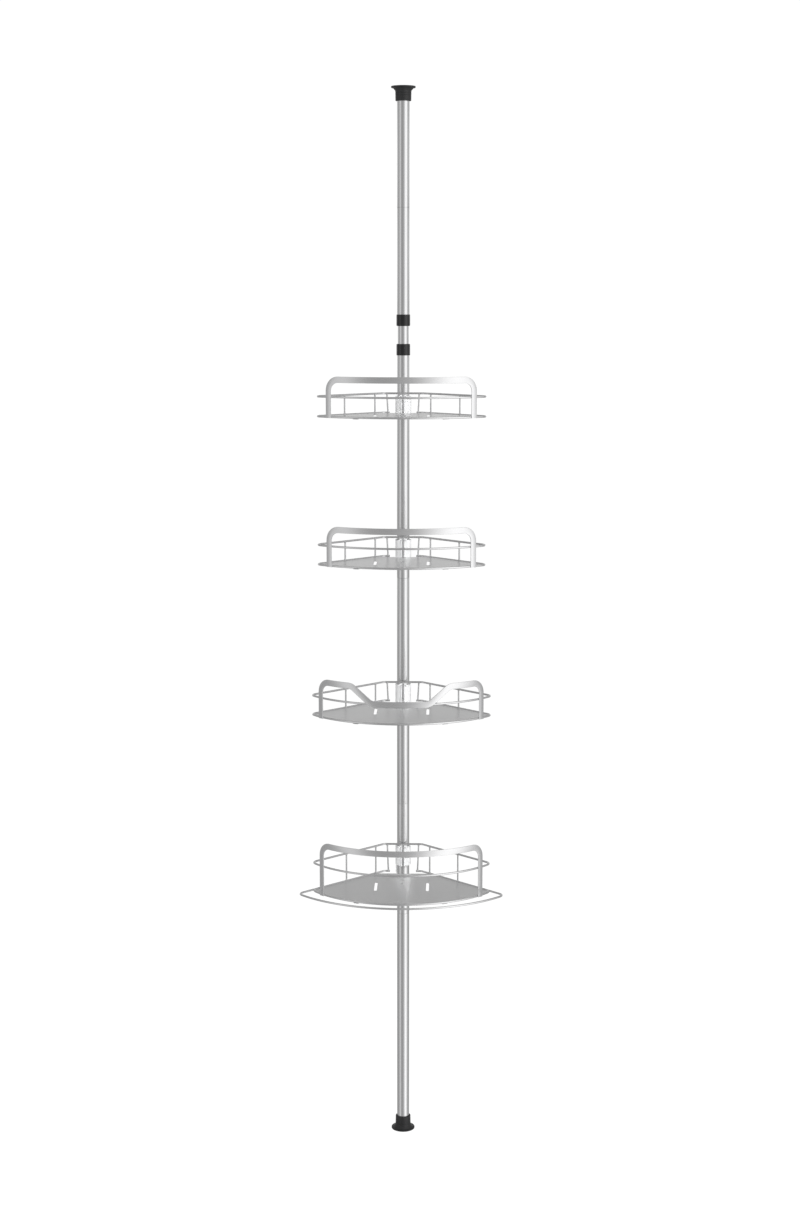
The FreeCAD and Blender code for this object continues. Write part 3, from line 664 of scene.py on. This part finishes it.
def closed_outline(sizes, tip_r):
    """The whole loop, starting at the middle of the back."""
    lap = BACK_CORNER * math.tan(math.radians(22.5))
    corner = arc_points((BACK_HALF - lap, BACK_Y - BACK_CORNER), BACK_CORNER, 90, 45, 7.5)
    half = np.concatenate([[(0, BACK_Y)], corner, right_bow(*sizes, tip_r)])
    return np.concatenate([half, half[-2:0:-1] * (-1, 1)])


def flat_frames(path, closed):
    """Outward normals of a flat path, and the vertical."""
    if closed:
        step = np.roll(path, -1, 0) - np.roll(path, 1, 0)
    else:
        step = np.gradient(path, axis=0)
    step /= np.linalg.norm(step, axis=1, keepdims=True)
    normal = np.stack([step[:, 1], -step[:, 0], np.zeros(len(step))], -1)
    return normal, np.tile((0.0, 0.0, 1.0), (len(step), 1))


def bent_wire(line, along, height, closed=False, swell=None):
    """Round wire carried along a flat line at one height."""
    normal, up = flat_frames(line, closed)
    path = np.column_stack([line, np.full(len(line), height)])
    return carried(path, normal, up, round_section(WIRE_R), along, closed, swell)


def rail_ring(number):
    """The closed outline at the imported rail's height. The weld swells the wire by a bell curve."""
    node = f"basket_{number}_rail_wire"
    tip_r = TIP_R[number]
    line, along = evened(closed_outline(ring_sizes(node, tip_r), tip_r), WIRE_STEP, True)
    weld = along[-1] * 0.11
    swell = 1 + 0.07 * np.exp(-((along[:-1] - weld) / WIRE_STEP) ** 2)
    return bent_wire(line, along, middle_height(node), True, swell)


def tray_hoop(number):
    """The same outline, open at the back, with two short ends past its corners."""
    node = f"basket_{number}_floor_wire"
    tip_r = TIP_R[number]
    loop = closed_outline(ring_sizes(node, tip_r), tip_r)[1:]
    line, along = evened(np.concatenate([[(HOOP_END, BACK_Y)], loop, [(-HOOP_END, BACK_Y)]]), WIRE_STEP)
    return bent_wire(line, along, middle_height(node))


for number in BASKETS:
    body = f"basket_{number}"
    piece(f"{body}_rail", [rail_ring(number)], wire_steel, body, "wire_steel", f"{body}_rail_wire")
    piece(f"{body}_hoop", [tray_hoop(number)], wire_steel, body, "wire_steel", f"{body}_floor_wire")

# %% [markdown]
# ## The towel rail
# The lowest basket has a second, wider wire at tray height. Its sides run on from the tray ring's
# sides, so it is an open hoop whose ends are welded where the tray ring turns at its tips.

# %% Bend the towel rail
TOWEL_LAP = 6.0 * MM


def towel_rail():
    """An open path: out of the right side, round the front, back into the left side."""
    cx, cy = ring_sizes("basket_4_floor_wire", TIP_R[4])[:2]
    bow = right_bow(*ring_sizes("basket_4_towel_ring", TIP_R["towel"]), TIP_R["towel"])
    root = cx + (TIP_R[4] - TOWEL_LAP) / math.sqrt(2), cy + (TIP_R[4] + TOWEL_LAP) / math.sqrt(2)
    half = np.concatenate([[root], bow])
    line, along = evened(np.concatenate([half, half[-2::-1] * (-1, 1)]), WIRE_STEP)
    return bent_wire(line, along, middle_height("basket_4_towel_ring"))


piece("towel_rail", [towel_rail()], wire_steel, "basket_4", "wire_steel", "basket_4_towel_ring")

# %% [markdown]
# ## The uprights
# Thin uprights are resistance welded between hoop and rail. The wire melts into the other wire and
# leaves a small fillet, so each upright is turned from a profile that swells near its welds. The two
# at the back corners lean a little. The middle one is a prong: it hangs from the rail and drops into
# the clamp's channel, so only its head is welded and its foot is rounded.

# %% Turn the uprights
RUNG_R = 1.6 * MM
SIDE_RUNG_X = (55.0 * MM, 112.0 * MM)
CORNER_RUNG_X = (32.0 * MM, 29.8 * MM)
PRONG_LENGTH = 45.0 * MM
FILLET = 0.55 * MM
FILLET_REACH = 1.3 * MM


def upright(head, foot, welded_foot=True):
    """A thin rod from foot to head: the radius is the rod's plus a bell curve at each wire's surface."""
    foot, head = np.asarray(foot), np.asarray(head)
    length = np.linalg.norm(head - foot)
    s = np.concatenate([[0], np.linspace(RUNG_R * 0.5, 3 * WIRE_R, 10),
                        np.linspace(length - 3 * WIRE_R, length - WIRE_R * 0.8, 10), [length]])
    swell = FILLET * np.exp(-((s - length + WIRE_R) / FILLET_REACH) ** 2)
    if welded_foot:
        swell = swell + FILLET * np.exp(-((s - WIRE_R) / FILLET_REACH) ** 2)
    radius = RUNG_R + swell
    if not welded_foot:
        radius[0] = RUNG_R * 0.6
    path = foot + (s / length)[:, None] * (head - foot)
    return carried(path, *plan_axes(len(s)), round_section(1.0, 14), s, False, radius)


def basket_uprights(number):
    """Two on each side, a leaning one at each back corner, and the prong."""
    floor = middle_height(f"basket_{number}_floor_wire")
    rail = middle_height(f"basket_{number}_rail_wire")
    rods = [upright((0, BACK_Y, rail), (0, BACK_Y, rail - PRONG_LENGTH), False)]
    head_x, foot_x = CORNER_RUNG_X
    for side in (-1, 1):
        rods.append(upright((side * head_x, BACK_Y, rail), (side * foot_x, BACK_Y, floor)))
        for x in SIDE_RUNG_X:
            y = BACK_Y - (x - BACK_HALF)
            rods.append(upright((side * x, y, rail), (side * x, y, floor)))
    return rods


for number in BASKETS:
    body = f"basket_{number}"
    piece(f"{body}_uprights", basket_uprights(number), wire_steel, body, "wire_steel", f"{body}_rungs")

# %% [markdown]
# ## The front bands
# The band is flat strip, 12 mm wide, bent edgewise into a post at each end and rolled to the front
# arc. The easy way to see it: draw its centre line on a flat sheet as (distance round the arc,
# height), soften the corners, then wrap that sheet round the basket. The strip's width lies in the
# sheet and its thickness stands out from it, so the frame at each point is known exactly.

# %% Wrap the strips round the fronts
STRIP = (12.0 * MM, 1.6 * MM)
STRIP_EDGE = 0.55 * MM
STRIP_BEND = 21.0 * MM
DIP_BEND = 22.0 * MM
DIP_X = (55.0 * MM, 94.0 * MM)
POST_X = {1: 139.0 * MM, 2: 139.0 * MM, 3: 156.0 * MM, 4: 156.0 * MM}
STRIP_STEP = 2.5 * MM


def band_line(number):
    """Centre line on the unrolled sheet, and the radius and centre of the arc that it is wrapped on."""
    low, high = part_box(f"basket_{number}_front_band")
    centre_y = ring_sizes(f"basket_{number}_floor_wire", TIP_R[number])[3]
    radius = -low.y + centre_y - STRIP[1] / 2
    post = radius * math.asin(POST_X[number] / (radius + STRIP[1] / 2))
    top = high.z - STRIP[0] / 2
    half = [(post, low.z), (post, top)]
    bends = [0, STRIP_BEND]
    if number == 3:
        rail = middle_height("basket_3_rail_wire")
        dips = [radius * math.asin(x / radius) for x in DIP_X]
        half += [(dips[1], top), (dips[0], rail)]
        bends += [DIP_BEND, DIP_BEND]
    corners = half + [(-s, z) for s, z in half[::-1]]
    line = softened(corners, bends + bends[::-1], False, 14)
    return line, radius, centre_y


def band(number):
    """The strip's section carried along the wrapped line: a point (s, z) of the sheet stands at angle
    s / radius round the arc, at height z."""
    line, radius, centre_y = band_line(number)
    line, along = evened(line, STRIP_STEP)
    angle = line[:, 0] / radius
    path = np.stack([radius * np.sin(angle), centre_y - radius * np.cos(angle), line[:, 1]], -1)
    out_dir = np.stack([np.sin(angle), -np.cos(angle), 0 * angle], -1)
    round_dir = np.stack([np.cos(angle), np.sin(angle), 0 * angle], -1)
    slope = np.gradient(line, axis=0)
    slope /= np.linalg.norm(slope, axis=1, keepdims=True)
    across = slope[:, 1:] * -round_dir + slope[:, :1] * np.array((0.0, 0.0, 1.0))
    return carried(path, across, out_dir, box_section(*STRIP, STRIP_EDGE), along)


for number in BASKETS:
    piece(f"basket_{number}_strip", [band(number)], strip_steel, f"basket_{number}", "strip_steel",
          f"basket_{number}_front_band")

# %% [markdown]
# ## Weld beads
# The strip's posts are welded to both rings from behind, one short bead above and one below each
# wire. They are small, but without them the strip looks as if it only touched the wire.

# %% Lay the weld beads
BEAD = (3.6 * MM, 1.0 * MM, 0.9 * MM)
BEAD_ABOVE = 1.5 * MM
BEAD_BELOW = 1.3 * MM
DIP_WELD_S = 40.0 * MM


def band_welds(number):
    """Beads behind each post at both rings, and along the dip where the strip lies on the rail."""
    line, radius, centre_y = band_line(number)
    post = line[0, 0]
    spots = []
    for ring in ("floor_wire", "rail_wire"):
        z = middle_height(f"basket_{number}_{ring}")
        for s in (-post, post):
            spots += [(s, z + BEAD_ABOVE), (s, z - BEAD_BELOW)]
    if number == 3:
        spots += [(s, z + BEAD_ABOVE) for s in (-DIP_WELD_S, 0.0, DIP_WELD_S)]
    r = radius - STRIP[1] / 2 - 0.5 * MM
    return [bead((r * math.sin(s / radius), centre_y - r * math.cos(s / radius), z), BEAD, s / radius)
            for s, z in spots]


for number in BASKETS:
    piece(f"basket_{number}_welds", band_welds(number), weld_steel, f"basket_{number}", "strip_steel")

# %% [markdown]
# ## The clamps
# A clamp is a milky sleeve round the front and sides of the pole, and a rear door that closes it on a
# pinned hinge. Both are thin curved walls with rounded edges. One function makes them: a thin arc
# section, round at its two ends, carried upwards, with the foot and the top free to follow the
# angle.

# %% Carry walls round the pole
SLEEVE_R = (13.7 * MM, 15.75 * MM)
WALL_HALF = (SLEEVE_R[1] - SLEEVE_R[0]) / 2
WALL_MIDDLE = sum(SLEEVE_R) / 2
EDGE = 0.6 * MM
DOOR_HALF = 50.0
DOOR_GAP = 1.5
KNUCKLE_AT = 17.0 * MM
KNUCKLE_R = 2.4 * MM
PIN_HOLE_R = 1.05 * MM
KNUCKLE_LENGTH = 13.0 * MM
KNUCKLE_GAP = 0.25 * MM
HINGE_ANGLE = math.radians(90 + DOOR_HALF)
HINGE = KNUCKLE_AT * math.cos(HINGE_ANGLE), KNUCKLE_AT * math.sin(HINGE_ANGLE)
EDGE_ROWS = 6
END_POINTS = 5
ROW_POINTS = 64
WALL_ROWS = 12
BAR_ROWS = 24


def wall(start, end, foot, top, heights):
    """A curved wall: each row is a thin arc with round ends, at radius middle + half * thickness * side.
    Start and end are angles in degrees, for each height or for all. Foot and top are functions of the
    angle, and a row stands at foot + (top - foot) * share. The first and last rows close to a line."""
    turn = np.linspace(0, math.pi / 2, EDGE_ROWS - 1)
    inset = EDGE * (1 - np.sin(turn))
    rise = EDGE * (1 - np.cos(turn))
    rows = len(heights)
    thick = np.concatenate([[0], 1 - inset / WALL_HALF, np.ones(rows), 1 - inset[::-1] / WALL_HALF, [0]])
    share = np.concatenate([np.zeros(EDGE_ROWS), heights, np.ones(EDGE_ROWS)])
    lift = np.concatenate([[0], rise, np.zeros(rows), -rise[::-1], [0]])
    row = np.clip(np.arange(rows + 2 * EDGE_ROWS) - EDGE_ROWS, 0, rows - 1)
    cap = np.linspace(math.pi / 2, -math.pi / 2, END_POINTS + 2)[1:-1]
    run = np.linspace(0, 1, ROW_POINTS)
    along = np.concatenate([run, np.ones(END_POINTS), run[::-1], np.zeros(END_POINTS)])
    bulge = np.concatenate([0 * run, np.cos(cap), 0 * run, -np.cos(cap)])
    side = np.concatenate([1 + 0 * run, np.sin(cap), -1 + 0 * run, -np.sin(cap)])
    low = np.broadcast_to(start, rows)[row][:, None]
    high = np.broadcast_to(end, rows)[row][:, None]
    round_end = np.degrees(WALL_HALF / WALL_MIDDLE)
    degrees = low + round_end + (high - low - 2 * round_end) * along + round_end * bulge
    radius = WALL_MIDDLE + WALL_HALF * thick[:, None] * side
    a = np.radians(degrees)
    z = foot(degrees) + (top(degrees) - foot(degrees)) * share[:, None] + lift[:, None]
    return patch(np.stack([radius * np.cos(a), radius * np.sin(a), z], -1))


def level(z):
    """The same height at every angle."""
    return lambda degrees: z + 0 * degrees


def barrel(low, high):
    """A length of hinge barrel with a bore for the pin."""
    corners = [(PIN_HOLE_R, low), (KNUCKLE_R, low), (KNUCKLE_R, high), (PIN_HOLE_R, high)]
    return turned(softened(corners, (0.1 * MM, 0.35 * MM, 0.35 * MM, 0.1 * MM), True, 4), 28, HINGE)


def upright_bar(centre, size, low, high, edge, swell=None):
    """A vertical bar with rounded corners."""
    z = np.linspace(low, high, BAR_ROWS)
    path = np.column_stack([np.tile(centre, (BAR_ROWS, 1)), z])
    return carried(path, *plan_axes(BAR_ROWS), box_section(*size, edge), z, False, swell)


print("clamp walls", round(SLEEVE_R[1] - SLEEVE_R[0], 5), "m thick")

# %% [markdown]
# ## The sleeves
# The rail's back wire sits on an arched ledge at the sleeve's front, split in the middle for the
# prong. The sleeve's top rises in a crown behind the ledge, and two ribs below it guide the prong.

# %% Make the sleeves
HOOK_HALF = 8.9 * MM
HOOK_DROP = 5.0 * MM
HOOK_THICK = 2.2 * MM
HOOK_FRONT = -21.5 * MM
PRONG_GAP = 2.2 * MM
HOOK_GAP = 0.05 * MM
RIB = (1.5 * MM, -19.6 * MM)
RIB_LIFT = 0.2 * MM
RIB_EDGE = 0.4 * MM
ARCH_R = (HOOK_HALF ** 2 + HOOK_DROP ** 2) / (2 * HOOK_DROP)
ARCH_MIDDLE = ARCH_R - HOOK_THICK / 2
ARCH_ROWS = 16


def ledge(side, crest):
    """Half of the arch that the rail sits on, rooted in the sleeve's wall. A section of (thickness,
    depth) shares is turned about the arch's centre: x = r sin a, z = centre + r cos a, and y runs from
    the wall to the hook's front by the depth share. Both ends shrink to a pole."""
    a = np.linspace(math.asin(PRONG_GAP / ARCH_R), math.asin(HOOK_HALF / ARCH_R), ARCH_ROWS)
    a = np.concatenate([a[:1], a, a[-1:]])[:, None]
    size = np.concatenate([[0], np.ones(ARCH_ROWS), [0]])[:, None]
    section = softened([(1, 0), (-1, 0), (-1, 1), (1, 1)], (0.01, 0.01, 0.16, 0.16), True, 4)
    r = ARCH_MIDDLE + size * section[:, 0] * HOOK_THICK / 2
    x = side * r * np.sin(a)
    root = -np.sqrt(WALL_MIDDLE ** 2 - x ** 2)
    depth = 0.5 + size * (section[:, 1] - 0.5)
    y = root + depth * (HOOK_FRONT - root)
    return patch(np.stack([x, y, crest - ARCH_R + r * np.cos(a)], -1))


def sleeve(number):
    """Wall with a crown, the arched ledge, two guide ribs and two hinge barrels."""
    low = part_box(f"clamp_{number}_sleeve")[0].z
    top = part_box(f"clamp_{number}_door")[1].z
    crest = middle_height(f"basket_{number}_rail_wire") - WIRE_R - HOOK_GAP

    def crown(degrees):
        """The arch's circle where it is higher than the sleeve's top, else that top."""
        x = SLEEVE_R[1] * np.cos(np.radians(degrees))
        arch = crest - ARCH_R + np.sqrt(np.maximum(ARCH_R ** 2 - x ** 2, 0))
        return np.where(np.abs(x) < HOOK_HALF, np.maximum(arch, top), top)

    width, front = RIB
    size = width, -front - WALL_MIDDLE
    rib_y = (front - WALL_MIDDLE) / 2
    ribs = [upright_bar((side * (PRONG_GAP + width / 2), rib_y), size, low + RIB_LIFT, crest - HOOK_THICK,
                        RIB_EDGE) for side in (-1, 1)]
    return [wall(DOOR_HALF - 270, 90 - DOOR_HALF, level(low), crown, np.linspace(0.02, 0.98, WALL_ROWS)),
            ledge(-1, crest), ledge(1, crest), *ribs,
            barrel(top - KNUCKLE_LENGTH, top), barrel(low, top - 2 * KNUCKLE_LENGTH)]


for number in BASKETS:
    piece(f"clamp_{number}_sleeve_shell", sleeve(number), milky_plastic, f"basket_{number}",
          "clear_plastic", f"clamp_{number}_sleeve")

# %% [markdown]
# ## The doors
# The door reaches lower than the sleeve. Its hinge side steps back beside the sleeve's barrels, and
# on the other side a ribbed thumb tab stands out to pull it open.

# %% Make the doors
THUMB = (2.2 * MM, 6.5 * MM, 14.0 * MM)
THUMB_ROOT = (1.0 * MM, 1.5 * MM)
THUMB_ANGLE = 9.0
THUMB_FOOT_BELOW_TOP = 30.0 * MM
THUMB_EDGE = 0.7 * MM
SETBACK = 9.0
STEP_HALF = 0.2 * MM


def door(number):
    """Wall with set-backs beside the sleeve's barrels, its own two barrels, and a ribbed thumb tab."""
    low, high = (c.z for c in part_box(f"clamp_{number}_door"))
    sleeve_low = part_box(f"clamp_{number}_sleeve")[0].z
    split = high - 2 * KNUCKLE_LENGTH
    steps = np.array([sleeve_low - KNUCKLE_GAP, split, split + KNUCKLE_LENGTH])
    even = np.linspace(low + 1 * MM, high - 1 * MM, WALL_ROWS)
    z = np.sort(np.concatenate([even, steps - STEP_HALF, steps + STEP_HALF]))
    beside = ((z > steps[0]) & (z < steps[1])) | (z > steps[2])
    hinge_side = 90 + DOOR_HALF - DOOR_GAP - SETBACK * beside
    a = math.radians(90 - DOOR_HALF + THUMB_ANGLE)
    thick, wide, tall = THUMB
    centre = (SLEEVE_R[1] * math.cos(a) + thick / 2 - THUMB_ROOT[0],
              SLEEVE_R[1] * math.sin(a) + wide / 2 - THUMB_ROOT[1])
    grip = 1 - 0.07 * (1 + np.cos(np.linspace(0, 8 * math.pi, BAR_ROWS)))
    foot = high - THUMB_FOOT_BELOW_TOP
    return [wall(90 - DOOR_HALF + DOOR_GAP, hinge_side, level(low), level(high), (z - low) / (high - low)),
            barrel(split + KNUCKLE_GAP, split + KNUCKLE_LENGTH - KNUCKLE_GAP),
            barrel(low, sleeve_low - KNUCKLE_GAP),
            upright_bar(centre, (thick, wide), foot, foot + tall, THUMB_EDGE, grip)]


for number in BASKETS:
    piece(f"clamp_{number}_door_shell", door(number), milky_plastic, f"door_{number}", "clear_plastic",
          f"clamp_{number}_door")

# %% [markdown]
# ## A white room
# The object stands in plain white. The room is one turned surface, floor, wall and ceiling, that
# shines white by itself, so no shadow or corner shows. Only the camera sees it.

# %% Build the white room
ROOM_R = 14.0
ROOM_SIDES = 96
plain_white = material("plain_white", lambda t: {
    "Base Color": (0.10, 0.10, 0.10, 1), "Roughness": 0.9, "Specular IOR Level": 0.0,
    "Emission Color": WHITE, "Emission Strength": 0.95})
profile = np.array([(0.0, 0.0), (ROOM_R * 0.5, 0.0), (ROOM_R, 0.0), (ROOM_R, ROOM_R), (0.0, ROOM_R)])
a = np.arange(ROOM_SIDES) / ROOM_SIDES * 2 * math.pi
r, z = profile[:, :1], profile[:, 1:]
points = np.stack([r * np.cos(a), r * np.sin(a), z + 0 * a], -1)
faces = quads(points, False, True, np.zeros((len(profile) + 1, ROOM_SIDES + 1, 2)))[0]
room_mesh = bpy.data.meshes.new("white_room")
room_mesh.from_pydata(points.reshape(-1, 3).tolist(), [], faces[:, ::-1].tolist())
room_mesh.materials.append(plain_white)
room = bpy.data.objects.new("white_room", room_mesh)
bpy.context.collection.objects.link(room)
room.visible_glossy = False
room.visible_diffuse = False
room.visible_shadow = False
room.visible_transmission = False
print("white room", ROOM_R, "m in radius")

# %% [markdown]
# ## What stays as packed
# Trays, liners and the pieces inside the pole already have their true shape. They keep their packed
# mesh and only take their finish.

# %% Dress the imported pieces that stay
FINISH = {"wire_steel": wire_steel, "tray_steel": tray_steel, "strip_steel": strip_steel,
          "tube_steel": tube_steel, "black_plastic": black_plastic, "rubber": black_rubber,
          "clear_plastic": milky_plastic, "liner_rubber": grip_rubber, "insert_plastic": insert_plastic,
          "spring_steel": spring_steel}
for entry in frame["record"]["subparts"]:
    mesh_object = frame["nodes"][entry["node"]]
    for slot in mesh_object.material_slots:
        slot.material = FINISH[entry["material_slot"]]
